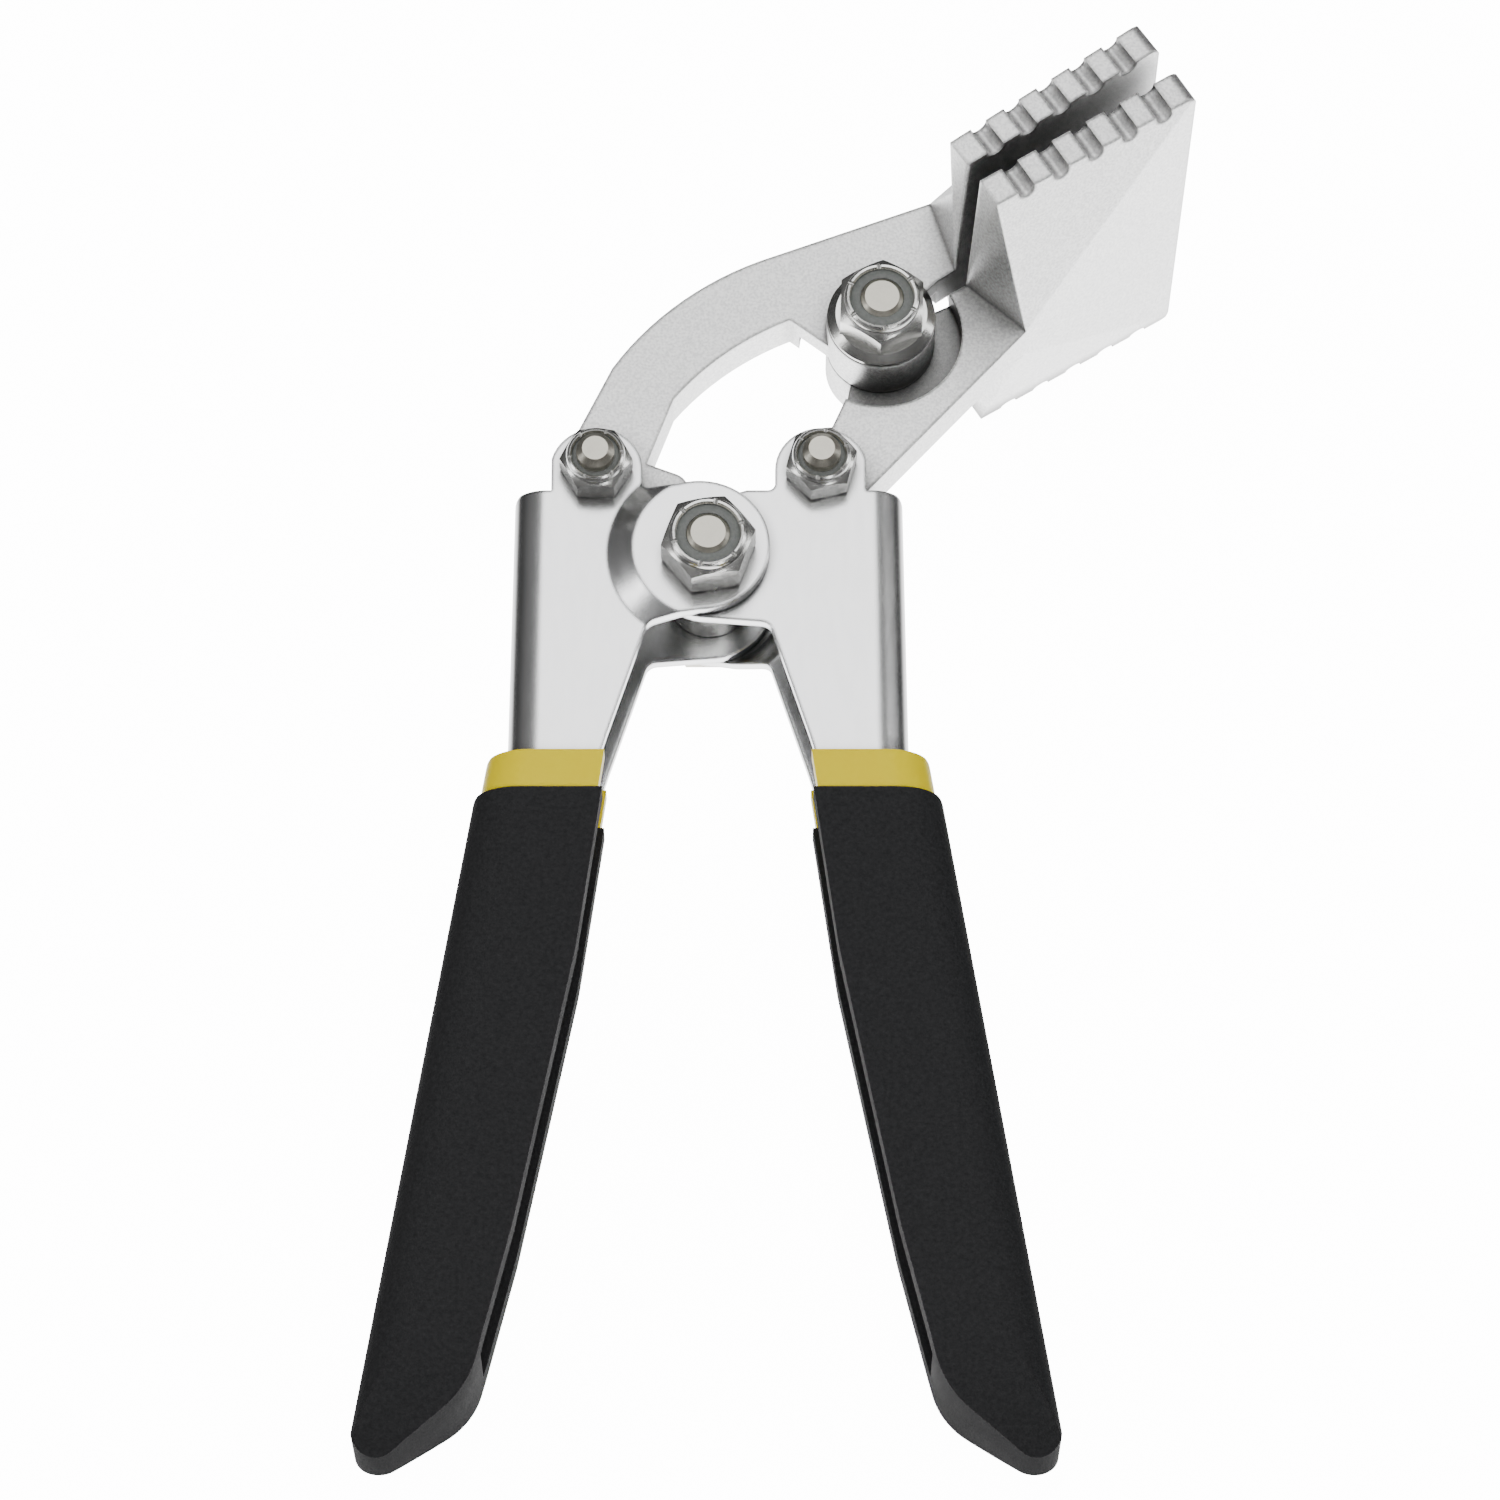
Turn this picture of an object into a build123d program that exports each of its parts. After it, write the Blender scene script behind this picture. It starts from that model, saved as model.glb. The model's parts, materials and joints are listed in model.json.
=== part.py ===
from build123d import *
import os
from math import asin, atan2, cos, degrees, hypot, radians, sin, tan

# Bent-jaw hand seamer: two stamped channel handles, two cast jaw arms, and four pivots.
# It is drawn in the tool's own plane: X across, Y towards the jaws, Z along the pivot bolts,
# with the handle pivot at the origin. The last step lays it down on its lowest points.

# Driving dimensions, mm ------------------------------------------------------------------

# pivots
LINK_X = 17.75            # link pivots, each side of the centre line
LINK_Y = 15.5             # link pivots ahead of the handle pivot
JAW_PIVOT_X = 27.4
JAW_PIVOT_Y = 42.1

# stamped handles
SHEET = 2.0
CHANNEL_HALF = 9.0        # half the channel's width over its two plates
BACK_BEND = 5.0           # outside radius where plate turns into back
EAR_RADIUS = 7.3
PLAIN_LUG_RADIUS = 10.0
JOGGLED_LUG_RADIUS = 11.05
JOGGLED_LUG_SHIFT = 1.45  # the joggled lug's centre sits up and out from the pivot
JOGGLE_CENTRE_Y = 1.2
JOGGLE_INNER = 12.0       # the joggle's ramp lies between these two radii
JOGGLE_OUTER = 15.9
CROTCH_FILLET = 2.0
EAR_FILLET = 1.2
LAP_GAP = 0.25            # between lapped plates of the two handles
SHOULDER_Y = 11.9         # top edge of the handles
SHOULDER_X = 30.6
NECK_X = 31.2             # back of the handle where it starts to splay
NECK_Y = -33.0
SPLAY = 9.3               # degrees
CROTCH = (9.6, -10.8)
NECK_TOP_X = 6.0          # where the plate's top edge starts down to its lug
INNER_EDGE = [(16.8, -33.0), (21.5, -66.0), (30.4, -110.0)]
HEEL = (36.7, -134.3)     # where the free edge turns to the slanted end
END_SLOPE = 0.756
TAPER_Y = -124.0          # below here the near and far faces curve in towards the end
TAPER_CURVE = 34.4        # radius of that curve on the metal's faces
TAPER_EASE = 0.2          # the curve starts this far outside the flat faces
TOP_ROUND = 1.2
EDGE_BLEND = 40.0         # where two straight runs of the handle's outline meet
HEEL_BLEND = 14.0
TAIL_ROUND = 2.75         # where the slanted end meets the back

# dipped vinyl
UNDERLAYER_TOP_Y = -32.8
UNDERLAYER_WALL = 1.1
UNDERLAYER_BACK = 3.2
UNDERLAYER_END = 1.2
GRIP_TOP_Y = -39.4
GRIP_WALL = 0.9
GRIP_BACK = 0.9           # beyond the under-layer's back and end
LIP = 0.7                 # how far each layer wraps past the plates' free edges
INSIDE_WALL = 0.5         # each layer's thickness on the channel's inside faces

# cast jaw arms
ARM_HALF = 4.0
ARM_EYE_RADIUS = 7.0
BOSS_RADIUS = 8.7
BOSS_TOP = 9.0
LAP_RADIUS = 13.0         # half-lap recess round the jaw pivot
JAW_CLEARANCE = 0.15      # each arm's half-lap stays this far from the mid plane
OPEN_PIVOT_CLEARANCE = 0.75
HEEL_RADIUS = 3.0
HEEL_REACH = 11.5

# jaw blades, measured from the jaw pivot along the blade
BLADE_ANGLE = 32.0
BLADE_WIDTH = 76.2
BLADE_TIP = 54.5
BLADE_REAR = 17.6
BLADE_EDGE = 5.4
BLADE_REAR_EDGE = 4.9
ROOT_INNER = 16.2
ROOT_OUTER = 19.9
ROOT_THICKNESS = 12.1
UPPER_FLARE = (19.5, 4.9, 20.0)   # along, thick and high where the upper flare ends
TIP_ROUND = 2.0
NOTCH_COUNT = 5
NOTCH_PITCH = 6.35
NOTCH_FIRST = 23.0
NOTCH_RADIUS = 1.5
NOTCH_DEPTH = 1.9
JAW_GAP = 2.5             # upper blade's face above the pivot when the blades are parallel
JAW_OPEN = 2.5            # degrees that the jaws stand open as drawn

# bolts and lock nuts
HOLE_CLEARANCE = 0.05
LARGE_BOLT = 8.0
LARGE_FLATS = 13.0
LARGE_HEAD = 5.3
LARGE_NUT = 8.0
SMALL_BOLT = 6.0
SMALL_FLATS = 10.0
SMALL_HEAD = 4.0
SMALL_NUT = 6.0
SMALL_BOLT_PROUD = 2.0
FLANGE_RADIUS = 8.6
FLANGE_THICKNESS = 1.6
BOLT_CHAMFER = 0.16       # share of the bolt's diameter
INSERT_HEIGHT = 2.2
INSERT_RADIUS = 0.62      # share of the bolt's diameter
NUT_LIP = 0.6
WASHER_THICKNESS = 1.6
WASHER_RADIUS = 8.0
SLEEVE_WALL = 2.4
FACE_GAP = 0.25           # along a pivot, between faces that turn on each other

LINK_RIGHT = (LINK_X, LINK_Y)
LINK_LEFT = (-LINK_X, LINK_Y)
JAW_PIVOT = (JAW_PIVOT_X, JAW_PIVOT_Y)
PLATE_INSIDE = CHANNEL_HALF - SHEET
JOGGLE_FACE = CHANNEL_HALF + LAP_GAP
HANDLE_START = [(CROTCH[0], SHOULDER_Y), CROTCH]
BLADE_HALF = BLADE_WIDTH / 2
GRIP_HALF = CHANNEL_HALF + UNDERLAYER_WALL + GRIP_WALL
TAPER_AXIS_Z = TAPER_CURVE - CHANNEL_HALF - TAPER_EASE


# Small helpers ---------------------------------------------------------------------------

def outline(points, radii):
    """Closed face with a rounded corner at each point; radius 0 keeps it sharp."""
    wire = Polyline(*points, close=True)
    face = make_face(wire)
    for point, radius in zip(points, radii):
        if radius > 0:
            corner = face.vertices().sort_by_distance((point[0], point[1], 0))[0]
            face = fillet(corner, radius)
    return face


def slab(face, low, high):
    """A flat face pushed up between two heights."""
    return Pos(0, 0, low) * extrude(face, high - low)


def disc(x, y, radius, low, high):
    """A cylinder on a pivot's axis."""
    return slab(Pos(x, y) * Circle(radius), low, high)


def facets(points, faces):
    """A closed solid from corner points and lists of their names."""
    flat = [Face(Wire.make_polygon([points[name] for name in names])) for names in faces]
    return Solid(Shell(flat))


def turned_over(part):
    """The second handle is the first, turned over about Y."""
    return part.rotate(Axis.Y, 180)


# Handles ---------------------------------------------------------------------------------

def back_x(y):
    """The handle's back line."""
    if y > NECK_Y:
        return NECK_X + (SHOULDER_X - NECK_X) * (y - NECK_Y) / (SHOULDER_Y - NECK_Y)
    return NECK_X + (NECK_Y - y) * tan(radians(SPLAY))


def lip_x(y):
    """The free edge of the handle's plates."""
    edge = [CROTCH] + INNER_EDGE
    for (x1, y1), (x2, y2) in zip(edge, edge[1:]):
        if y >= y2:
            return x1 + (x2 - x1) * (y - y1) / (y2 - y1)
    return edge[-1][0]


def end_line_y(x, end):
    """The handle's slanted end, set down by the amount given."""
    return HEEL[1] - end - END_SLOPE * (x - HEEL[0])


def tail(back, end):
    """The sharp corner where the slanted end would meet the handle's back."""
    slope = tan(radians(SPLAY))
    drop = NECK_Y - end_line_y(0, end)
    x = (NECK_X + back + slope * drop) / (1 - slope * END_SLOPE)
    return (x, end_line_y(x, end))


def handle_band(top_y, back, lip, end, start=None, rounded=True):
    """The handle's side outline from top_y down, grown by the three amounts given."""
    inner = [(x - lip, y) for x, y in INNER_EDGE if y < top_y - 1]
    first = start or [(lip_x(top_y) - lip, top_y)]
    heel_x = HEEL[0] - lip
    points = [*first, *inner, (heel_x, end_line_y(heel_x, end)), tail(back, end)]
    radii = [0] * len(first) + [EDGE_BLEND] * len(inner)
    radii += [HEEL_BLEND * rounded, (TAIL_ROUND + 0.5 * end) * rounded]
    if top_y > NECK_Y + 1:
        points += [(NECK_X + back, NECK_Y)]
        radii += [EDGE_BLEND]
    points += [(back_x(top_y) + back, top_y)]
    radii += [TOP_ROUND * rounded]
    return outline(points, radii)


def rounded_band(top_y, back, lip, end, half, bend, start=None):
    """The handle's side outline given thickness, with its back edges bent round."""
    solid = slab(handle_band(top_y, back, lip, end, start, rounded=False), -half, half)
    rims = [edge for edge in solid.edges() if is_back_edge(edge, half)]
    bent = fillet(rims, bend) & slab(handle_band(top_y, back, lip, end, start), -half, half)
    return bent & tapered(half)


def tapered(half):
    """A bar across the handle whose near and far faces curve in towards its end."""
    curve = TAPER_CURVE + half - CHANNEL_HALF
    top_y = SHOULDER_Y + 30
    bar = Pos((TAPER_Y + top_y) / 2, 0) * Rectangle(top_y - TAPER_Y, 2 * (curve - TAPER_AXIS_Z))
    lens = (Pos(TAPER_Y, TAPER_AXIS_Z) * Circle(curve)) & (Pos(TAPER_Y, -TAPER_AXIS_Z) * Circle(curve))
    return extrude(Plane.YZ * (bar + lens), 90)


def is_back_edge(edge, half):
    """True on the near and far rims of the handle's back."""
    middle = edge.position_at(0.5)
    ends = edge.position_at(1) - edge.position_at(0)
    on_rim = abs(abs(middle.Z) - half) < 0.01
    runs_down = abs(ends.Y) > 4 * abs(ends.X)
    return on_rim and runs_down and middle.X > lip_x(middle.Y) + 7.0


def plate_face(lug_centre, lug_radius):
    """One side plate: the channel's side, the ear, and the lug that reaches the pivot."""
    side = handle_band(SHOULDER_Y, 0, 0, 0, start=HANDLE_START)
    ear = Pos(*LINK_RIGHT) * Circle(EAR_RADIUS)
    ear += Pos(LINK_X, LINK_Y - EAR_RADIUS / 2) * Rectangle(2 * EAR_RADIUS, EAR_RADIUS)
    neck = [
        (lug_centre[0], lug_centre[1] - lug_radius),
        CROTCH,
        (LINK_X, CROTCH[1]),
        (LINK_X, SHOULDER_Y),
        (NECK_TOP_X, SHOULDER_Y),
        (lug_centre[0], min(lug_centre[1] + lug_radius, SHOULDER_Y + 0.3)),
    ]
    plate = side + ear + make_face(Polyline(*neck, close=True))
    plate += Pos(*lug_centre) * Circle(lug_radius)
    corner = plate.vertices().sort_by_distance((*CROTCH, 0))[0]
    plate = fillet(corner, CROTCH_FILLET)
    roots = [(LINK_X + side * EAR_RADIUS, SHOULDER_Y, 0) for side in (1, -1)]
    for root in roots:
        corner = plate.vertices().sort_by_distance(root)[0]
        plate = fillet(corner, EAR_FILLET)
    return plate


def joggle():
    """The sheet near the pivot, dished outwards by its own thickness round the pivot."""
    step = JOGGLE_FACE - PLATE_INSIDE
    slant = SHEET * tan(atan2(step, JOGGLE_OUTER - JOGGLE_INNER) / 2)
    rim = JOGGLE_OUTER + 4
    section = [
        (0, -JOGGLE_FACE - SHEET),
        (JOGGLE_INNER, -JOGGLE_FACE - SHEET),
        (JOGGLE_OUTER, -CHANNEL_HALF),
        (rim, -CHANNEL_HALF),
        (rim, -PLATE_INSIDE),
        (JOGGLE_OUTER - slant, -PLATE_INSIDE),
        (JOGGLE_INNER - slant, -JOGGLE_FACE),
        (0, -JOGGLE_FACE),
    ]
    face = make_face(Polyline(*section, close=True))
    return Pos(0, JOGGLE_CENTRE_Y, 0) * revolve(Plane.XZ * face, Axis.Z, 360), rim


def right_handle():
    """One stamping: channel body, two ears, a plain lug in front and a joggled one behind."""
    shift = JOGGLED_LUG_SHIFT
    near_plate = plate_face((0, 0), PLAIN_LUG_RADIUS)
    far_plate = plate_face((shift, shift), JOGGLED_LUG_RADIUS)
    flat_part = Rectangle(2 * (SHOULDER_X - BACK_BEND - 0.8), 2 * (LINK_Y + EAR_RADIUS))

    channel = rounded_band(SHOULDER_Y, 0, 0, 0, CHANNEL_HALF, BACK_BEND, HANDLE_START)
    channel -= rounded_band(SHOULDER_Y + 12, -SHEET, 12, -SHEET, PLATE_INSIDE,
                            BACK_BEND - SHEET, start=[(-4, SHOULDER_Y + 12)])
    channel += slab(near_plate & flat_part, PLATE_INSIDE, CHANNEL_HALF)
    channel += slab(far_plate & flat_part, -CHANNEL_HALF, -PLATE_INSIDE)

    dish, rim = joggle()
    reach = JOGGLE_FACE + SHEET + 1
    channel -= disc(0, JOGGLE_CENTRE_Y, rim, -reach, -PLATE_INSIDE)
    channel += dish & slab(far_plate, -reach, -PLATE_INSIDE + 0.5)

    channel -= disc(0, 0, LARGE_BOLT / 2 + HOLE_CLEARANCE, -reach, reach)
    channel -= disc(*LINK_RIGHT, SMALL_BOLT / 2 + HOLE_CLEARANCE, -reach, reach)
    return channel


def vinyl(top_y, outer_half, back, lip, end, inside, core):
    """One dipped layer: the grown outline, less whatever it coats, less the channel's inside."""
    layer = rounded_band(top_y, back, lip, end, outer_half, BACK_BEND + back / 2)
    groove_back = -SHEET - inside
    groove = rounded_band(top_y + 12, groove_back, 9, groove_back, PLATE_INSIDE - inside,
                          BACK_BEND - SHEET - inside)
    layer -= groove
    for piece in core:
        layer -= piece
    return layer


# Jaw arms --------------------------------------------------------------------------------

def flare_end():
    """Half way up the straight edge from the shoulder to the blade's rear corner."""
    return ((ROOT_OUTER + BLADE_REAR) / 2, (ROOT_THICKNESS + BLADE_REAR_EDGE) / 2,
            (ARM_HALF + BLADE_HALF) / 2)


def blade(flare):
    """The flared blade. Its gripping face is y = 0 and its outside is below it."""
    corners = {}
    for side, z in (("near", 1), ("far", -1)):
        corners["inner " + side] = (ROOT_INNER, 0, z * ARM_HALF)
        corners["shoulder " + side] = (ROOT_OUTER, -ROOT_THICKNESS, z * ARM_HALF)
        corners["flare " + side] = (flare[0], -flare[1], z * flare[2])
        corners["rear " + side] = (BLADE_REAR, 0, z * BLADE_HALF)
        corners["rear outer " + side] = (BLADE_REAR, -BLADE_REAR_EDGE, z * BLADE_HALF)
        corners["tip " + side] = (BLADE_TIP, 0, z * BLADE_HALF)
        corners["tip outer " + side] = (BLADE_TIP, -BLADE_EDGE, z * BLADE_HALF)
    faces = [
        ["inner near", "rear near", "tip near", "tip far", "rear far", "inner far"],
        ["shoulder near", "tip outer near", "tip outer far", "shoulder far"],
        ["tip near", "tip outer near", "tip outer far", "tip far"],
        ["inner near", "shoulder near", "shoulder far", "inner far"],
    ]
    for side in ("near", "far"):
        faces.append(["rear " + side, "rear outer " + side, "tip outer " + side, "tip " + side])
        faces.append(["shoulder " + side, "flare " + side, "tip outer " + side])
        faces.append(["flare " + side, "rear outer " + side, "tip outer " + side])
        faces.append(["inner " + side, "shoulder " + side, "flare " + side])
        faces.append(["inner " + side, "flare " + side, "rear outer " + side])
        faces.append(["inner " + side, "rear outer " + side, "rear " + side])
    solid = facets(corners, faces)
    tips = [edge for edge in solid.edges().filter_by(Axis.Y) if edge.center().X > BLADE_TIP - 1]
    solid = fillet(tips, TIP_ROUND)
    centre_z = BLADE_HALF - NOTCH_DEPTH + NOTCH_RADIUS
    for index in range(NOTCH_COUNT):
        x = NOTCH_FIRST + index * NOTCH_PITCH
        for side in (1, -1):
            groove = Rot(90, 0, 0) * Cylinder(NOTCH_RADIUS, 4 * ROOT_THICKNESS)
            solid -= Pos(x, 0, side * centre_z) * groove
    return solid


def along_blade(part, upper):
    """Turn a part drawn along +X from the jaw pivot to where the lower or upper jaw points."""
    if upper:
        part = mirror(part, Plane.XZ).moved(Location((0, JAW_GAP, 0)))
        part = part.rotate(Axis.Z, JAW_OPEN)
    return part.rotate(Axis.Z, BLADE_ANGLE).moved(Location((*JAW_PIVOT, 0)))


def on_blade(x, y, upper):
    """The same move for one point of an outline."""
    turn = BLADE_ANGLE
    if upper:
        y = JAW_GAP - y
        turn += JAW_OPEN
    turn = radians(turn)
    return (JAW_PIVOT_X + x * cos(turn) - y * sin(turn), JAW_PIVOT_Y + x * sin(turn) + y * cos(turn))


def root_points(upper):
    """Where an arm runs into its blade: face, a point inside the blade, and shoulder."""
    overlap = 4.0
    slope = (ROOT_THICKNESS - BLADE_EDGE) / (BLADE_TIP - ROOT_OUTER)
    return [
        on_blade(ROOT_INNER - 3.5, 0, upper),
        on_blade(ROOT_OUTER + overlap, 0, upper),
        on_blade(ROOT_OUTER + overlap, -ROOT_THICKNESS + slope * overlap, upper),
        on_blade(ROOT_OUTER, -ROOT_THICKNESS, upper),
    ]


def lower_arm_face():
    """The straight arm, from its link eye to the root of its blade."""
    face_edge, inside, outside, shoulder = root_points(False)
    points = [face_edge, inside, outside, shoulder, (22.4, 11.2), (12.6, 13.0), (19.7, 25.7),
              (21.7, 30.3), (24.0, 42.1)]
    return make_face(Polyline(*points, close=True)) + Pos(*LINK_RIGHT) * Circle(ARM_EYE_RADIUS)


def upper_arm_face():
    """The curved arm, bent round from its link eye to the root of its blade."""
    face_edge, inside, outside, shoulder = root_points(True)
    outer = [
        Line((-24.0, 18.0), (-15.5, 35.8)),
        ThreePointArc((-15.5, 35.8), (-5.4, 47.0), (8.0, 55.0)),
        Line((8.0, 55.0), shoulder),
    ]
    root = Polyline(shoulder, outside, inside, face_edge, (27.4, 42.1), (19.2, 39.6), (12.9, 44.5))
    inner = [
        ThreePointArc((12.9, 44.5), (3.0, 38.8), (-5.7, 30.3)),
        Line((-5.7, 30.3), (-10.6, 17.0)),
        Line((-10.6, 17.0), (-24.0, 18.0)),
    ]
    face = make_face(Curve() + outer + [root] + inner)
    heel_x = LINK_LEFT[0] + HEEL_REACH
    heel = make_hull((Pos(heel_x, LINK_Y - 1.2) * Circle(HEEL_RADIUS)
                      + Pos(*LINK_LEFT) * Circle(ARM_EYE_RADIUS - 1)).edges())
    return face + Pos(*LINK_LEFT) * Circle(ARM_EYE_RADIUS) + heel


def jaw_arm(face, upper, eye, eye_hole):
    """A flat arm with its blade, half-lapped at the jaw pivot, with a boss on its own side."""
    side = 1 if upper else -1
    other = sorted((-side * ARM_HALF, side * JAW_CLEARANCE))
    boss = sorted((side * JAW_CLEARANCE, side * BOSS_TOP))
    arm = slab(face, -ARM_HALF, ARM_HALF)
    blade_part = along_blade(blade(UPPER_FLARE if upper else flare_end()), upper)
    arm -= disc(*JAW_PIVOT, LAP_RADIUS, other[0], other[1])
    arm = arm + blade_part
    arm += disc(*JAW_PIVOT, BOSS_RADIUS, *boss)
    arm -= disc(*JAW_PIVOT, LARGE_BOLT / 2 + HOLE_CLEARANCE, -BLADE_HALF, BLADE_HALF)
    arm -= disc(*eye, eye_hole, -BLADE_HALF, BLADE_HALF)
    return arm


# Bolts, nuts and small turned pieces -----------------------------------------------------

def hexagon(flats):
    return RegularPolygon(flats / 2, 6, major_radius=False)


def shank(diameter, low, high, grow=0.0):
    """A round shank with a chamfered end, grown all round by the amount given."""
    solid = slab(Circle(diameter / 2 + grow), low, high + grow)
    return chamfer(solid.edges().sort_by(Axis.Z)[-1], diameter * BOLT_CHAMFER)


def bolt(x, y, diameter, flats, head, low, high):
    """Hex bolt with its head below low and its chamfered end at high."""
    return Pos(x, y) * (shank(diameter, low, high) + slab(hexagon(flats), low - head, low))


def lock_nut(x, y, diameter, flats, low, height, flange_radius=0):
    """Nylon-insert lock nut: hexagon, round collar, and a recess that holds the insert."""
    top = low + height
    hex_top = top - INSERT_HEIGHT * 0.6
    nut = slab(hexagon(flats), low, hex_top)
    nut += disc(0, 0, flats / 2 * 0.93, hex_top, top)
    if flange_radius:
        nut += disc(0, 0, flange_radius, low, low + FLANGE_THICKNESS)
    nut -= disc(0, 0, diameter / 2 + HOLE_CLEARANCE, low, top)
    nut -= disc(0, 0, diameter * INSERT_RADIUS, top - NUT_LIP - INSERT_HEIGHT, top)
    return Pos(x, y) * nut


def nut_insert(x, y, diameter, low, height, proud=0.0):
    """The nylon ring in the lock nut, closed round the end of the bolt."""
    top = low + height - NUT_LIP
    nylon = disc(0, 0, diameter * INSERT_RADIUS, top - INSERT_HEIGHT, top)
    return Pos(x, y) * (nylon - shank(diameter, low, low + height + proud, HOLE_CLEARANCE))


def ring(x, y, inner, outer, low, high):
    """A washer, spacer or sleeve."""
    return disc(x, y, outer, low, high) - disc(x, y, inner, low, high)


# Assembly --------------------------------------------------------------------------------

def handle_pieces():
    """Both handles with their vinyl."""
    metal = right_handle()
    under_outer = CHANNEL_HALF + UNDERLAYER_WALL
    under = vinyl(UNDERLAYER_TOP_Y, under_outer, UNDERLAYER_BACK, LIP, UNDERLAYER_END,
                  INSIDE_WALL, [metal])
    grip = vinyl(GRIP_TOP_Y, GRIP_HALF, UNDERLAYER_BACK + GRIP_BACK, 2 * LIP,
                 UNDERLAYER_END + GRIP_BACK, 2 * INSIDE_WALL, [metal, under])
    return {
        "handle_right": metal,
        "grip_underlayer_right": under,
        "grip_right": grip,
        "handle_left": turned_over(metal),
        "grip_underlayer_left": turned_over(under),
        "grip_left": turned_over(grip),
    }


def jaw_pieces():
    """Both jaw arms. The upper one's link eye is the linkage's open pivot, so it is loose."""
    link_hole = SMALL_BOLT / 2 + HOLE_CLEARANCE
    loose_hole = SMALL_BOLT / 2 + OPEN_PIVOT_CLEARANCE
    return {
        "lower_jaw": jaw_arm(lower_arm_face(), False, LINK_RIGHT, link_hole),
        "upper_jaw": jaw_arm(upper_arm_face(), True, LINK_LEFT, loose_hole),
    }


def handle_pivot_pieces():
    """The bolt turns with the left handle: its nut sits on that handle's joggled lug."""
    face = JOGGLE_FACE + SHEET
    washer_face = face + FACE_GAP
    bore = LARGE_BOLT / 2 + HOLE_CLEARANCE
    under_head = -washer_face - WASHER_THICKNESS
    return {
        "handle_pivot_bolt": bolt(0, 0, LARGE_BOLT, LARGE_FLATS, LARGE_HEAD, under_head,
                                  face + LARGE_NUT),
        "handle_pivot_washer": ring(0, 0, bore, WASHER_RADIUS, under_head, -washer_face),
        "handle_pivot_nut": lock_nut(0, 0, LARGE_BOLT, LARGE_FLATS, face, LARGE_NUT),
        "handle_pivot_nut_insert": nut_insert(0, 0, LARGE_BOLT, face, LARGE_NUT),
        "handle_pivot_sleeve": ring(0, 0, bore, LARGE_BOLT / 2 + SLEEVE_WALL,
                                    -PLATE_INSIDE + FACE_GAP, PLATE_INSIDE),
    }


def jaw_pivot_pieces():
    """The jaw bolt turns with the upper jaw: its flange nut sits on that arm's boss."""
    washer_face = BOSS_TOP + FACE_GAP
    bore = LARGE_BOLT / 2 + HOLE_CLEARANCE
    under_head = -washer_face - WASHER_THICKNESS
    return {
        "jaw_pivot_bolt": bolt(*JAW_PIVOT, LARGE_BOLT, LARGE_FLATS, LARGE_HEAD, under_head,
                               BOSS_TOP + LARGE_NUT),
        "jaw_pivot_washer": ring(*JAW_PIVOT, bore, WASHER_RADIUS, under_head, -washer_face),
        "jaw_pivot_nut": lock_nut(*JAW_PIVOT, LARGE_BOLT, LARGE_FLATS, BOSS_TOP, LARGE_NUT,
                                  FLANGE_RADIUS),
        "jaw_pivot_nut_insert": nut_insert(*JAW_PIVOT, LARGE_BOLT, BOSS_TOP, LARGE_NUT),
    }


def link_pieces(side, x, y):
    """A link bolt through a handle's two ears, with the spacers that centre the arm."""
    bore = SMALL_BOLT / 2 + HOLE_CLEARANCE
    end = CHANNEL_HALF + SMALL_NUT + SMALL_BOLT_PROUD
    gap_face = ARM_HALF + FACE_GAP
    spacer = ring(x, y, bore, SMALL_BOLT / 2 + SLEEVE_WALL, gap_face, PLATE_INSIDE)
    return {
        "link_bolt_" + side: bolt(x, y, SMALL_BOLT, SMALL_FLATS, SMALL_HEAD, -CHANNEL_HALF, end),
        "link_nut_" + side: lock_nut(x, y, SMALL_BOLT, SMALL_FLATS, CHANNEL_HALF, SMALL_NUT),
        "link_nut_insert_" + side: nut_insert(x, y, SMALL_BOLT, CHANNEL_HALF, SMALL_NUT,
                                              SMALL_BOLT_PROUD),
        "link_spacers_" + side: Compound([spacer, mirror(spacer, Plane.XY)]),
    }


def resting_tilt():
    """The angle that lays the lower blade's rear corner and both grips' curves on one plane."""
    along = on_blade(BLADE_REAR, -BLADE_REAR_EDGE, False)[1] - TAPER_Y
    across = BLADE_HALF + TAPER_AXIS_Z
    return atan2(across, along) - asin((GRIP_HALF + TAPER_EASE + TAPER_AXIS_Z) / hypot(along, across))


def lay_down(pieces):
    """Tilt the tool to lie on the bench, its box's bottom centre at the origin."""
    tilted = {name: part.rotate(Axis.X, degrees(resting_tilt())) for name, part in pieces.items()}
    box = Compound([*tilted.values()]).bounding_box()
    centre = box.center()
    to_origin = Location((-centre.X, -centre.Y, -box.min.Z))
    return {name: part.moved(to_origin) for name, part in tilted.items()}, to_origin


def build():
    pieces = {}
    pieces.update(handle_pieces())
    pieces.update(jaw_pieces())
    pieces.update(handle_pivot_pieces())
    pieces.update(jaw_pivot_pieces())
    pieces.update(link_pieces("right", *LINK_RIGHT))
    pieces.update(link_pieces("left", *LINK_LEFT))
    return lay_down(pieces)


def main():
    os.makedirs("parts", exist_ok=True)
    pieces, to_origin = build()
    for name, part in pieces.items():
        part.label = name
        export_step(part, "parts/" + name + ".step")
    print(len(pieces), "pieces, tilted", round(degrees(resting_tilt()), 3), "degrees")
    print("handle pivot moved by", [round(value, 3) for value in to_origin.position])


main()
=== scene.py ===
# %% [markdown]
# # A bent-jaw hand seamer
#
# The real object is a pair of folding pliers for sheet metal: stamped handles with dipped
# grips drive cast jaws through a linkage. The measured model arrives finished, with its
# joints. This script keeps those hard shapes and gives them their finishes. It models afresh
# what the measured model only blocks in: the four lock nuts and their nylon rings.

# %% Load the measured model
import json
import math

import bpy
from mathutils import Matrix, Vector


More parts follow.
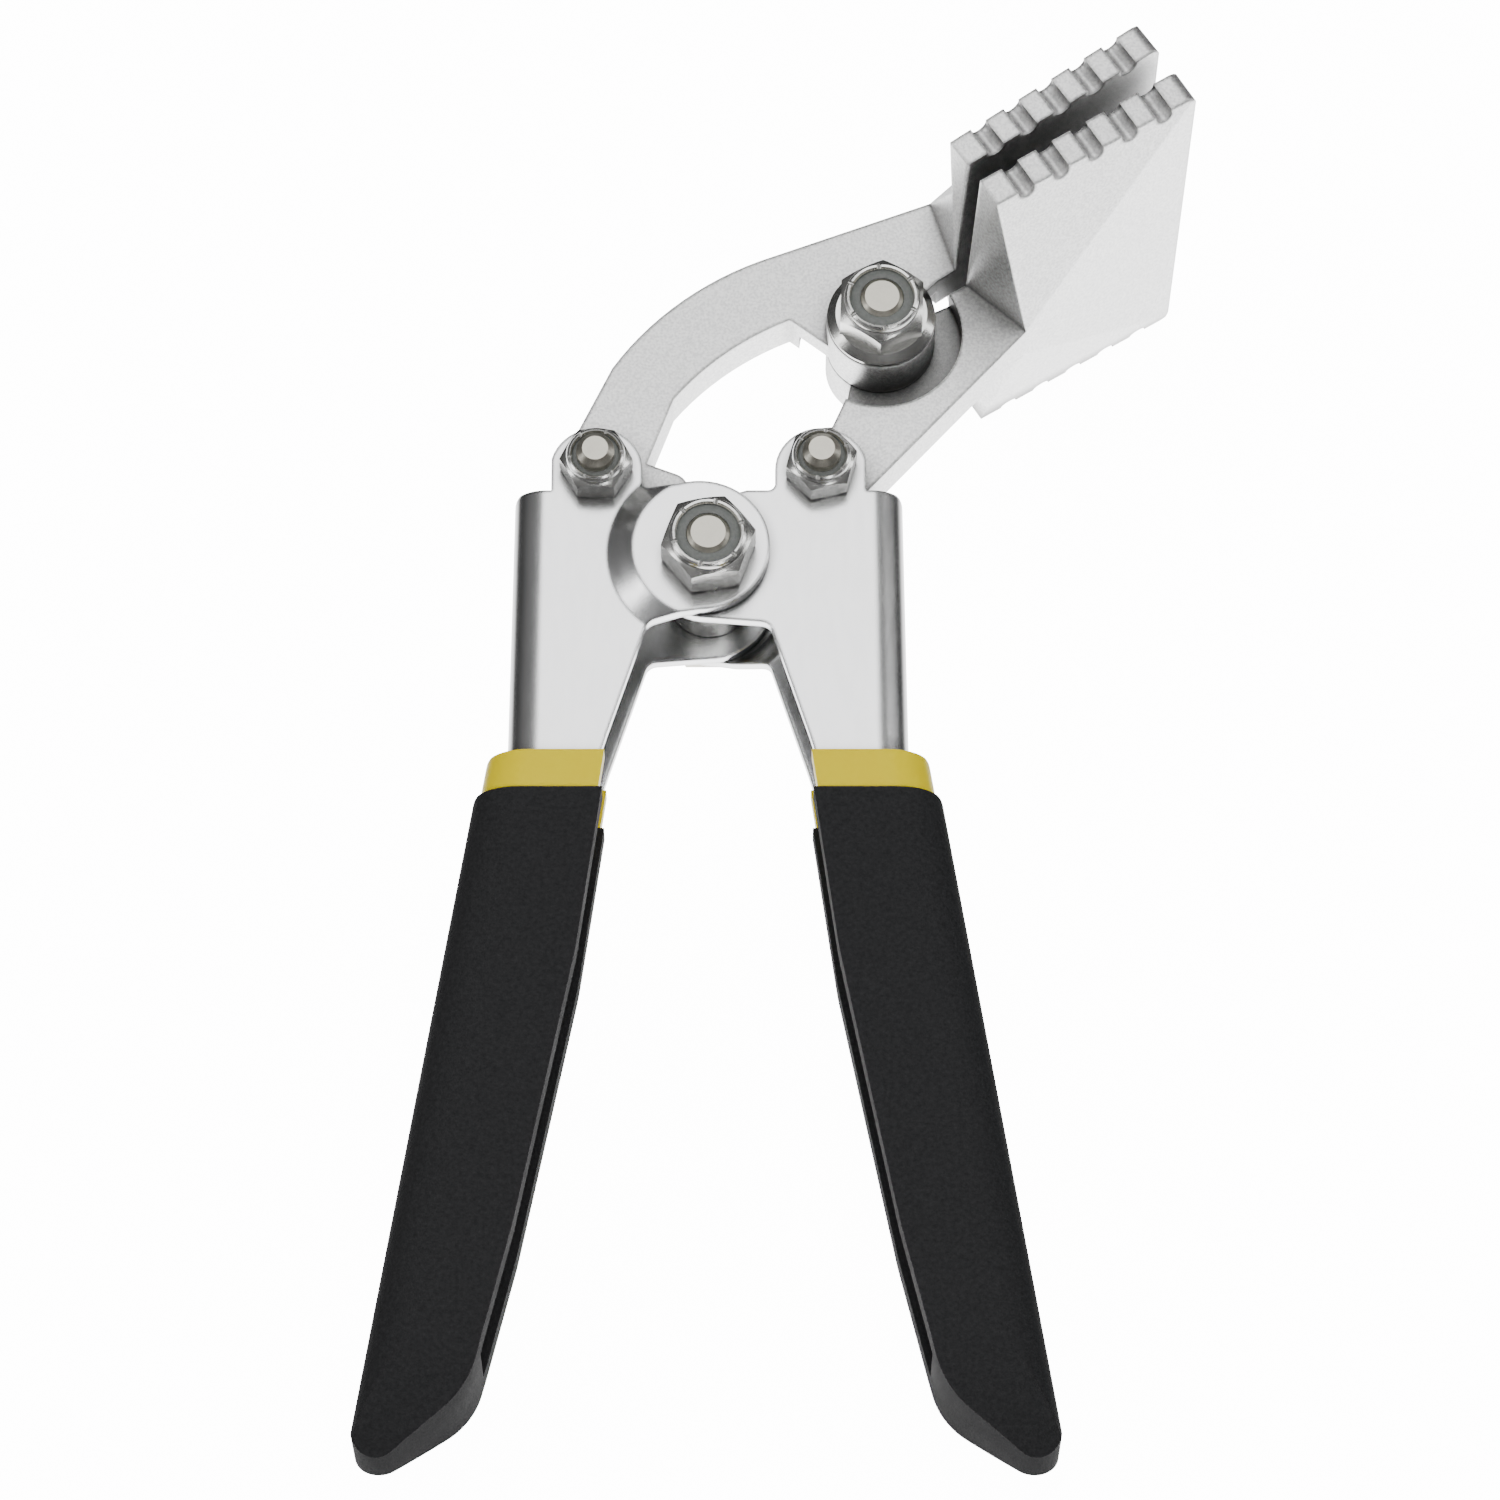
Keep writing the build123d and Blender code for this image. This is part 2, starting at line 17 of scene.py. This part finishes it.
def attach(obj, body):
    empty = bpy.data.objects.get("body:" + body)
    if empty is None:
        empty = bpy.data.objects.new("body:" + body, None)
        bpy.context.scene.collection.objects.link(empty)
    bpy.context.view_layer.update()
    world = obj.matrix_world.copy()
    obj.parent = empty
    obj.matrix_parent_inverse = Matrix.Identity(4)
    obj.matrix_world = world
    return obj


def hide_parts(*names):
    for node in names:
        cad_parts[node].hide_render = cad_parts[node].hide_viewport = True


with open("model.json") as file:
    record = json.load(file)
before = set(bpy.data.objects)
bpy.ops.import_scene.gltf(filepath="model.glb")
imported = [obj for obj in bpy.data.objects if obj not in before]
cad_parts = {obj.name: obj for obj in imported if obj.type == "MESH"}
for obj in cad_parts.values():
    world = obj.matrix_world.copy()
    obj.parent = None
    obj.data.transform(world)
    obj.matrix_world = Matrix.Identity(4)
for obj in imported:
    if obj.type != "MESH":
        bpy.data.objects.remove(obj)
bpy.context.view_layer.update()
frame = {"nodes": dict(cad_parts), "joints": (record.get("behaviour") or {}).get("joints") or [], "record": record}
nodes = frame["nodes"]
joints = {joint["name"]: joint for joint in frame["joints"]}

# %% [markdown]
# ## The tool's own plane
#
# The tool lies tilted on the bench, so its pivots don't point straight up. Every size on it
# is easier to give in its own plane: across, along towards the jaws, and up the pivot bolts,
# in millimetres from the handle pivot. One matrix turns those numbers into scene metres, and
# it can be worked out from the handle pivot's joint, so nothing is typed in twice.

# %% From the tool's plane to the scene
pivot = Vector(joints["handle_pivot"]["pos_m"])
pivot_axis = Vector(joints["handle_pivot"]["axis"]).normalized()
across = Vector((1, 0, 0))
along = pivot_axis.cross(across).normalized()
turn = Matrix((across, along, pivot_axis)).transposed().to_4x4()
MILLIMETRE = 0.001
tool_plane = Matrix.Translation(pivot) @ turn @ Matrix.Scale(MILLIMETRE, 4)


def on_tool(x, y, z=0.0):
    """A point given in millimetres in the tool's plane, in scene metres."""
    return tool_plane @ Vector((x, y, z))


print("the pivots lean back", round(math.degrees(math.asin(-pivot_axis.y)), 2), "degrees")

# %% [markdown]
# ## Camera
#
# A long lens from a metre away keeps the two handles nearly parallel, as a catalogue picture
# does. It looks along the pivots, leaned back enough to show the grips' inner sides.

# %% Camera
CAMERA_LEAN = math.radians(23.0)
CAMERA_DISTANCE = 1000.0
AIM_X = 6.5
AIM_Y = -28.7
FOCAL_LENGTH = 153.6
SENSOR_WIDTH = 36.0
NEAREST_SEEN = 0.05

camera_data = bpy.data.cameras.new("camera")
camera_data.lens = FOCAL_LENGTH
camera_data.sensor_width = SENSOR_WIDTH
camera_data.clip_start = NEAREST_SEEN
camera = bpy.data.objects.new("camera", camera_data)
bpy.context.scene.collection.objects.link(camera)
aim = on_tool(AIM_X, AIM_Y)
camera.location = on_tool(AIM_X, AIM_Y - CAMERA_DISTANCE * math.sin(CAMERA_LEAN),
                          CAMERA_DISTANCE * math.cos(CAMERA_LEAN))
camera.rotation_euler = (aim - camera.location).to_track_quat("-Z", "Y").to_euler()
bpy.context.scene.camera = camera
print("camera", [round(c, 3) for c in camera.location])

# %% [markdown]
# ## Light
#
# Bright metal shows its surroundings more than itself. A wide soft box overhead fills the
# flat plates, smaller ones at the sides draw the edges, and one stands in front.
# The room is bright below, where a white table would be, nearly black round the horizon, so
# that the rounded backs have something dark to mirror, and faintly grey overhead. The camera
# itself sees only a pale room.

# %% Soft lights
TOOL_MIDDLE = Vector((0, 0, 0.02))


def soft_box(name, place, size, power):
    """An oblong lamp at a place, turned to the tool. Its power is in watts."""
    lamp = bpy.data.lights.new(name, "AREA")
    lamp.shape = "RECTANGLE"
    lamp.size, lamp.size_y = size
    lamp.energy = power
    box = bpy.data.objects.new(name, lamp)
    bpy.context.scene.collection.objects.link(box)
    box.location = place
    box.rotation_euler = (TOOL_MIDDLE - box.location).to_track_quat("-Z", "Y").to_euler()


soft_box("light_overhead", Vector((0.0, 0.42, 1.7)), (0.85, 1.1), 8.5)
soft_box("light_left", Vector((-1.5, -0.3, 1.0)), (0.35, 1.4), 8)
soft_box("light_right", Vector((1.5, 0.3, 0.9)), (0.30, 1.4), 6)
soft_box("light_front", Vector((0.2, -1.4, 1.6)), (1.2, 0.4), 14)
print("lights ready")

# %% Room
SEEN_STRENGTH = 15.0
MIRRORED_STRENGTH = 5.0
# (height, grey): height is 0 straight down, 0.5 at the horizon and 1 straight up
HORIZON = [
    (0.0, 1.0), (0.16, 0.7), (0.32, 0.02), (0.52, 0.01),
    (0.66, 0.02), (0.88, 0.035), (0.96, 0.08), (1.0, 0.09),
]

world = bpy.data.worlds.new("room")
bpy.context.scene.world = world
world.use_nodes = True
room = world.node_tree
room.nodes.clear()
direction = room.nodes.new("ShaderNodeTexCoord")
split = room.nodes.new("ShaderNodeSeparateXYZ")
room.links.new(direction.outputs["Generated"], split.inputs[0])
height = room.nodes.new("ShaderNodeMath")
height.operation = "MULTIPLY_ADD"
height.inputs[1].default_value = 0.5
height.inputs[2].default_value = 0.5
room.links.new(split.outputs["Z"], height.inputs[0])
sky = room.nodes.new("ShaderNodeValToRGB")
room.links.new(height.outputs[0], sky.inputs[0])
while len(sky.color_ramp.elements) < len(HORIZON):
    sky.color_ramp.elements.new(1.0)
for element, (position, grey) in zip(sky.color_ramp.elements, HORIZON):
    element.position = position
    element.color = (grey, grey, grey, 1)
seen = room.nodes.new("ShaderNodeBackground")
seen.inputs["Color"].default_value = (0.93, 0.93, 0.93, 1)
seen.inputs["Strength"].default_value = SEEN_STRENGTH
mirrored = room.nodes.new("ShaderNodeBackground")
mirrored.inputs["Strength"].default_value = MIRRORED_STRENGTH
room.links.new(sky.outputs["Color"], mirrored.inputs["Color"])
path = room.nodes.new("ShaderNodeLightPath")
choose = room.nodes.new("ShaderNodeMixShader")
room.links.new(path.outputs["Is Camera Ray"], choose.inputs["Fac"])
room.links.new(mirrored.outputs[0], choose.inputs[1])
room.links.new(seen.outputs[0], choose.inputs[2])
out = room.nodes.new("ShaderNodeOutputWorld")
room.links.new(choose.outputs[0], out.inputs["Surface"])
print("room ready")

# %% [markdown]
# ## Building finishes
#
# A finish is a small graph of nodes. Written as Python sums it stays readable: a `Wire`
# stands for one socket, and `2 * wire + 0.1` adds the Math nodes. A `Finish` holds the
# material and makes every other node. Patterns read Object coordinates, which are scene
# metres here, so a scale of 1000 means grains a millimetre apart.

# %% Wires


class Wire:
    """One output socket. Sums on wires add Math nodes to their finish."""

    def __init__(self, finish, socket):
        self.finish, self.socket = finish, socket

    def math(self, operation, first, second):
        made = self.finish.node("Math", {"operation": operation})
        for place, value in zip(made.inputs, (first, second)):
            self.finish.feed(place, value)
        return Wire(self.finish, made.outputs[0])

    def __add__(self, other):
        return self.math("ADD", self, other)

    def __radd__(self, other):
        return self.math("ADD", other, self)

    def __sub__(self, other):
        return self.math("SUBTRACT", self, other)

    def __rsub__(self, other):
        return self.math("SUBTRACT", other, self)

    def __mul__(self, other):
        return self.math("MULTIPLY", self, other)

    def __rmul__(self, other):
        return self.math("MULTIPLY", other, self)


# %% Finishes


class Finish:
    """A material, its Principled shader, and one method for any other node."""

    CORNER_SAMPLES = 8
    EDGE_SAMPLES = 6

    def __init__(self, name, **constants):
        self.material = bpy.data.materials.new(name)
        self.material.use_nodes = True
        self.tree = self.material.node_tree
        self.shader = self.tree.nodes["Principled BSDF"]
        for socket, value in constants.items():
            self.shader.inputs[socket.replace("_", " ")].default_value = value
        place = self.node("TexCoord")
        self.place = Wire(self, place.outputs["Object"])

    def feed(self, socket, value):
        """Links a wire to a socket, or sets the socket to a number or colour."""
        if isinstance(value, Wire):
            self.tree.links.new(value.socket, socket)
        else:
            socket.default_value = value

    def node(self, kind, settings=None, inputs=None):
        """Any node: its settings first, then its sockets, by identifier or name."""
        made = self.tree.nodes.new("ShaderNode" + kind)
        for name, value in (settings or {}).items():
            if name == "stops":
                self.set_stops(made.color_ramp, value)
            else:
                setattr(made, name, value)
        for name, value in (inputs or {}).items():
            match = [s for s in made.inputs if s.identifier == name] or [made.inputs[name]]
            self.feed(match[0], value)
        return made

    def set_stops(self, ramp, stops):
        while len(ramp.elements) < len(stops):
            ramp.elements.new(1.0)
        for element, (position, colour) in zip(ramp.elements, stops):
            element.position = position
            element.color = (*colour, 1)

    def noise(self, grains_per_metre, detail=2.0, stretch=None):
        """Cloudy grain from 0 to 1; stretch gives the grain's three shares of that scale."""
        place = self.place
        if stretch:
            moved = self.node("Mapping", None, {"Vector": place, "Scale": stretch})
            place = Wire(self, moved.outputs[0])
        made = self.node("TexNoise", None, {"Vector": place, "Scale": grains_per_metre,
                                            "Detail": detail})
        return Wire(self, made.outputs["Fac"])

    def between(self, value, low, high):
        """0 below low, 1 above high, and even in between."""
        made = self.node("MapRange", None, {"Value": value, "From Min": low, "From Max": high})
        return Wire(self, made.outputs[0])

    def mix(self, share, first, second):
        """A colour between two colours."""
        made = self.node("Mix", {"data_type": "RGBA"},
                         {"Factor_Float": share, "A_Color": first, "B_Color": second})
        return Wire(self, [s for s in made.outputs if s.identifier == "Result_Color"][0])

    def set(self, socket, wire):
        self.feed(self.shader.inputs[socket], wire)

    def open_space(self, reach_mm):
        """1 on an open face, down to 0 in a corner or gap narrower than the reach."""
        made = self.node("AmbientOcclusion", {"samples": self.CORNER_SAMPLES},
                         {"Distance": reach_mm / 1000})
        return Wire(self, made.outputs["AO"])

    def worn_edges(self, radius_mm):
        """Shades every sharp edge as if it were rounded to that radius."""
        made = self.node("Bevel", {"samples": self.EDGE_SAMPLES}, {"Radius": radius_mm / 1000})
        self.set("Normal", Wire(self, made.outputs[0]))

    def bump(self, height, depth_mm, strength=1.0):
        """Relief: height from 0 to 1 stands for that depth in millimetres."""
        before = self.shader.inputs["Normal"].links
        inputs = {"Height": height, "Distance": depth_mm / 1000, "Strength": strength}
        if before:
            inputs["Normal"] = Wire(self, before[0].from_socket)
        made = self.node("Bump", None, inputs)
        self.set("Normal", Wire(self, made.outputs["Normal"]))


print("wires and finishes ready")

# %% [markdown]
# ## Plated sheet
#
# The handles are cold-rolled sheet with a bright zinc plating. It is almost a mirror, dulled
# by the rolling: reflections smear a little along the sheet. Slow waves in the surface, far
# too shallow to measure, are what makes the reflections wander. Narrow corners are painted
# darker in the base colour: a painted shade, because little light gets into them.

# %% Plated sheet
COOL_ZINC = (0.74, 0.75, 0.77, 1)
WARM_ZINC = (0.80, 0.795, 0.785, 1)
SHEET_PAINTED_SHADE = (0.20, 0.20, 0.20, 1)

plated = Finish("plated_sheet", Metallic=1.0)
plated.worn_edges(0.8)
cloud = plated.noise(45, 2)
streak = plated.noise(900, 3, stretch=(1.0, 0.12, 1.0))
grain = plated.noise(3500, 2)
tint = plated.mix(cloud, COOL_ZINC, WARM_ZINC)
# Painted shade: the base colour darkens in corners and gaps narrower than the reach.
clear = plated.between(plated.open_space(2.5), 0.35, 0.9)
plated.set("Base Color", plated.mix(clear, SHEET_PAINTED_SHADE, tint))
plated.set("Roughness", 0.17 + 0.09 * streak + 0.05 * cloud)
plated.bump(cloud, 0.10, 0.5)
plated.bump(0.7 * streak + 0.3 * grain, 0.006, 0.5)
print("plated sheet ready")

# %% [markdown]
# ## Cast and blasted steel
#
# The jaws are cast, blasted clean and plated thinly. The skin is a field of tiny pits and
# crests that sparkle, over the slight lumps that the sand mould leaves. Corners get a painted
# shade in the base colour, reaching further than on the sheet, since the narrow gap between the jaws is the
# darkest corner.

# %% Cast steel
PIT_GREY = (0.74, 0.74, 0.74, 1)
CREST_WHITE = (0.97, 0.97, 0.96, 1)
CAST_PAINTED_SHADE = (0.10, 0.10, 0.10, 1)

cast = Finish("cast_steel", Metallic=1.0)
cast.worn_edges(0.9)
lumps = cast.noise(220, 3)
pits = cast.noise(2300, 3)
fine = cast.noise(5200, 2)
shade = cast.between(pits, 0.38, 0.62)
bare = cast.mix(shade, PIT_GREY, CREST_WHITE)
# Painted shade: the base colour darkens in corners and in the narrow gap between the jaws.
clear = cast.between(cast.open_space(9), 0.30, 0.85)
cast.set("Base Color", cast.mix(clear, CAST_PAINTED_SHADE, bare))
cast.set("Roughness", 0.36 + 0.14 * fine)
cast.bump(lumps, 0.10, 0.6)
cast.bump(0.6 * pits + 0.4 * fine, 0.045, 0.8)
print("cast steel ready")

# %% [markdown]
# ## Nuts, bolts and nylon
#
# The nuts are bright plated, the bolt ends duller and faintly yellow where they were cut and
# chamfered, and the locking rings are grey nylon.

# %% Nuts, bolts and nylon
NUT_MARKED = (0.58, 0.58, 0.57, 1)
NUT_BRIGHT = (0.80, 0.80, 0.77, 1)
BOLT_STAINED = (0.44, 0.42, 0.36, 1)
BOLT_CUT = (0.66, 0.64, 0.57, 1)
NYLON_SHADED = (0.10, 0.11, 0.105, 1)
NYLON_CUT = (0.22, 0.23, 0.22, 1)

nut_steel = Finish("nut_steel", Metallic=1.0)
tool_marks = nut_steel.noise(2600, 3)
nut_steel.set("Base Color", nut_steel.mix(tool_marks, NUT_MARKED, NUT_BRIGHT))
nut_steel.set("Roughness", 0.16 + 0.16 * nut_steel.noise(700, 3))
nut_steel.bump(nut_steel.noise(600, 3), 0.05, 0.5)

bolt_steel = Finish("bolt_steel", Metallic=1.0)
stain = bolt_steel.noise(900, 3)
bolt_steel.set("Base Color", bolt_steel.mix(stain, BOLT_STAINED, BOLT_CUT))
bolt_steel.set("Roughness", 0.30 + 0.18 * stain)
bolt_steel.bump(bolt_steel.noise(1600, 3), 0.03, 0.5)

nylon = Finish("nylon", IOR=1.53)
cut = nylon.noise(1800, 3)
nylon.set("Base Color", nylon.mix(cut, NYLON_SHADED, NYLON_CUT))
nylon.set("Roughness", 0.42 + 0.2 * cut)
nylon.bump(cut, 0.03, 0.6)
print("fastener finishes ready")

# %% [markdown]
# ## Dipped vinyl
#
# Each grip is dipped twice: a yellow coat with a slight shine first, then a black one with a
# leathery, slightly fuzzy skin. Soft vinyl mirrors little, so both have a low index of
# refraction, and the black is dull enough to show its grain as light speckles.

# %% Vinyl
YELLOW_DEEP = (1.0, 0.76, 0.0, 1)
YELLOW_THIN = (1.0, 0.82, 0.0, 1)
BLACK_DEEP = (0.018, 0.018, 0.019, 1)
BLACK_GRAIN = (0.045, 0.045, 0.047, 1)

yellow = Finish("yellow_vinyl", Coat_Roughness=0.12, IOR=1.2)
flow = yellow.noise(120, 2)
yellow.set("Base Color", yellow.mix(flow, YELLOW_DEEP, YELLOW_THIN))
yellow.set("Roughness", 0.30 + 0.12 * yellow.noise(900, 2))
yellow.set("Coat Weight", 0.04 * flow)
yellow.bump(flow, 0.12, 0.5)
yellow.bump(yellow.noise(1400, 2), 0.02, 0.5)

black = Finish("black_vinyl", IOR=1.05)
skin = black.noise(1500, 4)
fuzz = black.noise(5200, 2)
worn = black.between(black.noise(60, 3), 0.4, 0.75)
black.set("Base Color", black.mix(skin, BLACK_DEEP, BLACK_GRAIN))
black.set("Roughness", 0.50 + 0.22 * skin - 0.08 * worn)
black.bump(black.noise(110, 2), 0.15, 0.5)
black.bump(0.7 * skin + 0.3 * fuzz, 0.09, 0.8)
print("vinyl ready")

# %% Put the finishes on the measured pieces
finishes = {
    "plated_sheet": plated, "cast_steel": cast, "nut_steel": nut_steel, "bolt_steel": bolt_steel,
    "nylon": nylon, "yellow_vinyl": yellow, "black_vinyl": black,
}
for subpart in frame["record"]["subparts"]:
    slots = nodes[subpart["node"]].data.materials
    slots.clear()
    slots.append(finishes[subpart["material_slot"]].material)
print("painted", len(nodes), "pieces")

# %% [markdown]
# ## Turned pieces
#
# Nuts and their locking rings start as round bar in a lathe, so they are drawn as a section
# that is swept round the axis. By hand that is a circle, pulled up and scaled from each
# corner of the section to the next until it meets its own start. Working in millimetres
# round the world's origin keeps the numbers short; the tool's matrix puts the piece in place.

# %% Turning a section
SIDES = 96
WELD_DISTANCE = 0.002
SMOOTH_BELOW = math.radians(28)


def turned(name, section):
    """A closed ring of revolution through the section's (radius, height) corners."""
    bpy.ops.object.select_all(action="DESELECT")
    bpy.ops.mesh.primitive_circle_add(vertices=SIDES, radius=section[0][0])
    piece = bpy.context.object
    piece.name = name
    bpy.ops.object.mode_set(mode="EDIT")
    bpy.ops.mesh.select_all(action="SELECT")
    bpy.ops.transform.translate(value=(0, 0, section[0][1]))
    for (radius, height), (next_radius, next_height) in zip(section, section[1:] + section[:1]):
        bpy.ops.mesh.extrude_region_move(
            TRANSFORM_OT_translate={"value": (0, 0, next_height - height)})
        share = next_radius / radius
        bpy.ops.transform.resize(value=(share, share, 1))
    bpy.ops.mesh.select_all(action="SELECT")
    bpy.ops.mesh.remove_doubles(threshold=WELD_DISTANCE)
    bpy.ops.mesh.normals_make_consistent(inside=False)
    bpy.ops.object.mode_set(mode="OBJECT")
    return piece


def carve(piece, tool, operation):
    """Applies one Boolean with a second shape, which is then thrown away."""
    cut = piece.modifiers.new("cut", "BOOLEAN")
    cut.operation = operation
    cut.solver = "EXACT"
    cut.object = tool
    bpy.context.view_layer.objects.active = piece
    bpy.ops.object.modifier_apply(modifier="cut")
    bpy.data.objects.remove(tool)


def put_on_tool(piece, x, y, z, degrees=0.0):
    """Takes a piece drawn in millimetres at the origin to its place on the tool."""
    spot = Matrix.Translation((x, y, z)) @ Matrix.Rotation(math.radians(degrees), 4, "Z")
    piece.data.transform(tool_plane @ spot)
    bpy.ops.object.select_all(action="DESELECT")
    piece.select_set(True)
    bpy.context.view_layer.objects.active = piece
    bpy.ops.object.shade_smooth_by_angle(angle=SMOOTH_BELOW)


print("turning ready")

# %% [markdown]
# ## Lock nuts
#
# Each pivot is closed by a nut with a nylon ring in its collar. A real one is hexagonal bar,
# turned at both ends: that is why its corners show curved chamfers. So the turned blank is
# intersected with a six-sided bar. The collar is then rolled over the ring, and the rolling
# tool leaves a nick beside each corner. The jaw pivot's nut has a flange as well.

# %% One lock nut
COLLAR_HEIGHT = 1.4      # above the hexagon
COLLAR_SHARE = 0.465     # the collar's radius, as a share of the width across flats
CORNER_SHARE = 0.59      # just past the hexagon's corners, where both chamfers end
BORE_SHARE = 1.01        # the bore's radius, as a share of the bolt's
SEAT_SHARE = 1.24        # the nylon ring's seat, as a share of the bolt's radius
SEAT_DEPTH = 2.8         # the seat's floor, below the top
FACE_CHAMFER = 0.75
SHOULDER_CHAMFER = 0.85

NICKS = 6
NICK_TURN = 7
NICK_INSET = 0.2
NICK_RADIUS_SHARE = 0.030
NICK_LENGTH_SHARE = 0.14

FLANGE_BEVEL = 0.15
FLANGE_EDGE = 0.75
FLANGE_RISE = 1.9        # where the flange's slope meets the hexagon


def lock_nut(name, bolt_radius, flats, height, flange=0.0):
    """A nylon-insert lock nut standing on the origin, in millimetres."""
    shoulder = height - COLLAR_HEIGHT
    collar = flats * COLLAR_SHARE
    seat = bolt_radius * SEAT_SHARE
    corner = flats * CORNER_SHARE
    bore = bolt_radius * BORE_SHARE
    blank = turned(name, [
        (bore, 0.0), (flats * 0.47, 0.0), (corner, FACE_CHAMFER),
        (corner, shoulder - SHOULDER_CHAMFER), (flats * 0.49, shoulder),
        (collar, shoulder + 0.12), (collar, height - 0.55),
        (collar - 0.18, height - 0.18), (collar - 0.5, height), (seat + 0.25, height - 0.05),
        (seat, height - 0.4), (seat, height - SEAT_DEPTH), (bore, height - SEAT_DEPTH)])
    bpy.ops.object.select_all(action="DESELECT")
    bpy.ops.mesh.primitive_cylinder_add(vertices=6, radius=flats / math.sqrt(3), depth=height + 2,
                                        location=(0, 0, height / 2),
                                        rotation=(0, 0, math.radians(30)))
    carve(blank, bpy.context.object, "INTERSECT")
    reach = collar - NICK_INSET
    for index in range(NICKS):
        angle = math.radians(60 * index + NICK_TURN)
        bpy.ops.mesh.primitive_cylinder_add(
            vertices=12, radius=NICK_RADIUS_SHARE * flats, depth=NICK_LENGTH_SHARE * flats,
            location=(reach * math.cos(angle), reach * math.sin(angle), height),
            rotation=(math.radians(90), 0, angle + math.radians(90)))
        carve(blank, bpy.context.object, "DIFFERENCE")
    if flange:
        rim = turned("rim", [(bore, 0), (flange - FLANGE_BEVEL, 0), (flange, FLANGE_BEVEL),
                             (flange, FLANGE_EDGE), (flange - 0.25, 1.0),
                             (flats * 0.56, FLANGE_RISE), (bore, FLANGE_RISE)])
        carve(blank, rim, "UNION")
    return blank


RING_TOP = 0.6           # below the nut's top
RING_HEIGHT = 2.1
RING_OUTER_SHARE = 1.235
RING_INNER_SHARE = 0.86  # it grips the bolt, so its mouth is the narrower
RING_BORE_SHARE = 1.02


def nylon_ring(name, bolt_radius, height):
    """The ring inside the collar, squeezed up a little round the bolt."""
    outer = bolt_radius * RING_OUTER_SHARE
    inner = bolt_radius * RING_INNER_SHARE
    bore = bolt_radius * RING_BORE_SHARE
    top = height - RING_TOP
    foot = top - RING_HEIGHT
    return turned(name, [(bore, foot), (outer, foot), (outer, top - 0.12),
                         (outer - 0.2, top), (inner + 0.25, top + 0.10), (inner, top + 0.02),
                         (inner, top - 0.5), (bore, top - 0.9)])


# %% The four lock nuts


def where(joint_name, node):
    """A pivot's place across and along the tool, and how high its nut sits, in millimetres."""
    to_tool = tool_plane.inverted()
    corners = [to_tool @ vertex.co for vertex in nodes[node].data.vertices]
    low = min(point.z for point in corners)
    if joint_name:
        middle = to_tool @ Vector(joints[joint_name]["pos_m"])
    else:
        middle = sum(corners, Vector()) / len(corners)
    return middle.x, middle.y, low


# bolt radius, width across flats, height
LARGE = (4.0, 13.0, 8.0)
SMALL = (3.0, 10.0, 6.0)
# name, joint, body, size, flange radius, turn in degrees, and the nodes they stand in for
NUTS = [
    ("handle_pivot", "handle_pivot", "left_handle", LARGE, 0.0, 10.0,
     "handle_pivot_nut", "handle_pivot_nut_insert"),
    ("jaw_pivot", "jaw_pivot", "upper_jaw", LARGE, 8.6, 28.0,
     "jaw_pivot_nut", "jaw_pivot_nut_insert"),
    ("link_right", "link_pivot_right", "right_handle", SMALL, 0.0, 14.0,
     "link_nut_right", "link_nut_insert_right"),
    ("link_left", None, "left_handle", SMALL, 0.0, 0.0,
     "link_nut_left", "link_nut_insert_left"),
]
for spot, joint, body, size, flange, turned_by, nut_node, ring_node in NUTS:
    bolt_radius, flats, height = size
    x, y, z = where(joint, nut_node)
    nut = lock_nut("lock_nut_" + spot, bolt_radius, flats, height, flange)
    put_on_tool(nut, x, y, z, turned_by)
    nut.data.materials.append(nut_steel.material)
    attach(nut, body)
    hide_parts(nut_node)
    ring = nylon_ring("nylon_ring_" + spot, bolt_radius, height)
    put_on_tool(ring, x, y, z)
    ring.data.materials.append(nylon.material)
    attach(ring, body)
    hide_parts(ring_node)
    print(nut.name, "at", round(x, 2), round(y, 2), round(z, 2), "faces", len(nut.data.polygons))

# %% [markdown]
# ## Floor
#
# A plain sheet under the tool, lit from within like a light table, so it stays white. The
# tool doesn't mirror it and takes no bounced light from it: the bright lower part of the room
# stands in for it there.

# %% Floor
PAPER_GREY = (0.90, 0.90, 0.90, 1)
PAPER_WHITE = (0.93, 0.93, 0.93, 1)
FLOOR_SIZE = 12

paper = Finish("paper", Roughness=0.9, Emission_Color=(1, 1, 1, 1), Emission_Strength=14.0)
fibre = paper.noise(300, 3)
paper.set("Base Color", paper.mix(fibre, PAPER_GREY, PAPER_WHITE))
bpy.ops.object.select_all(action="DESELECT")
bpy.ops.mesh.primitive_plane_add(size=FLOOR_SIZE, location=(0, 0, 0))
floor = bpy.context.object
floor.name = "floor"
floor.data.materials.append(paper.material)
floor.visible_glossy = False
floor.visible_diffuse = False
print("floor ready")

# %% [markdown]
# ## The dark behind the camera
#
# Bright nuts look bright because they also mirror something dark. In a studio that is the
# camera and the black cloth behind it, so a black disc stands behind this camera. It lights
# nothing, blocks nothing and isn't seen directly: only the metal mirrors it.

# %% Black cloth
CLOTH_BLACK = (0.004, 0.004, 0.004, 1)
CLOTH_THREAD = (0.012, 0.012, 0.012, 1)
CLOTH_RADIUS = 0.32
BEHIND = 0.05            # behind the camera, as a share of its distance from the tool

cloth = Finish("cloth", Roughness=1.0)
weave = cloth.noise(400, 2)
cloth.set("Base Color", cloth.mix(weave, CLOTH_BLACK, CLOTH_THREAD))
bpy.ops.object.select_all(action="DESELECT")
bpy.ops.mesh.primitive_circle_add(vertices=48, radius=CLOTH_RADIUS, fill_type="NGON",
                                  location=camera.location + (camera.location - aim) * BEHIND,
                                  rotation=camera.rotation_euler)
backdrop = bpy.context.object
backdrop.name = "black_cloth"
backdrop.data.materials.append(cloth.material)
backdrop.visible_camera = False
backdrop.visible_diffuse = False
backdrop.visible_shadow = False
print("cloth behind the camera")
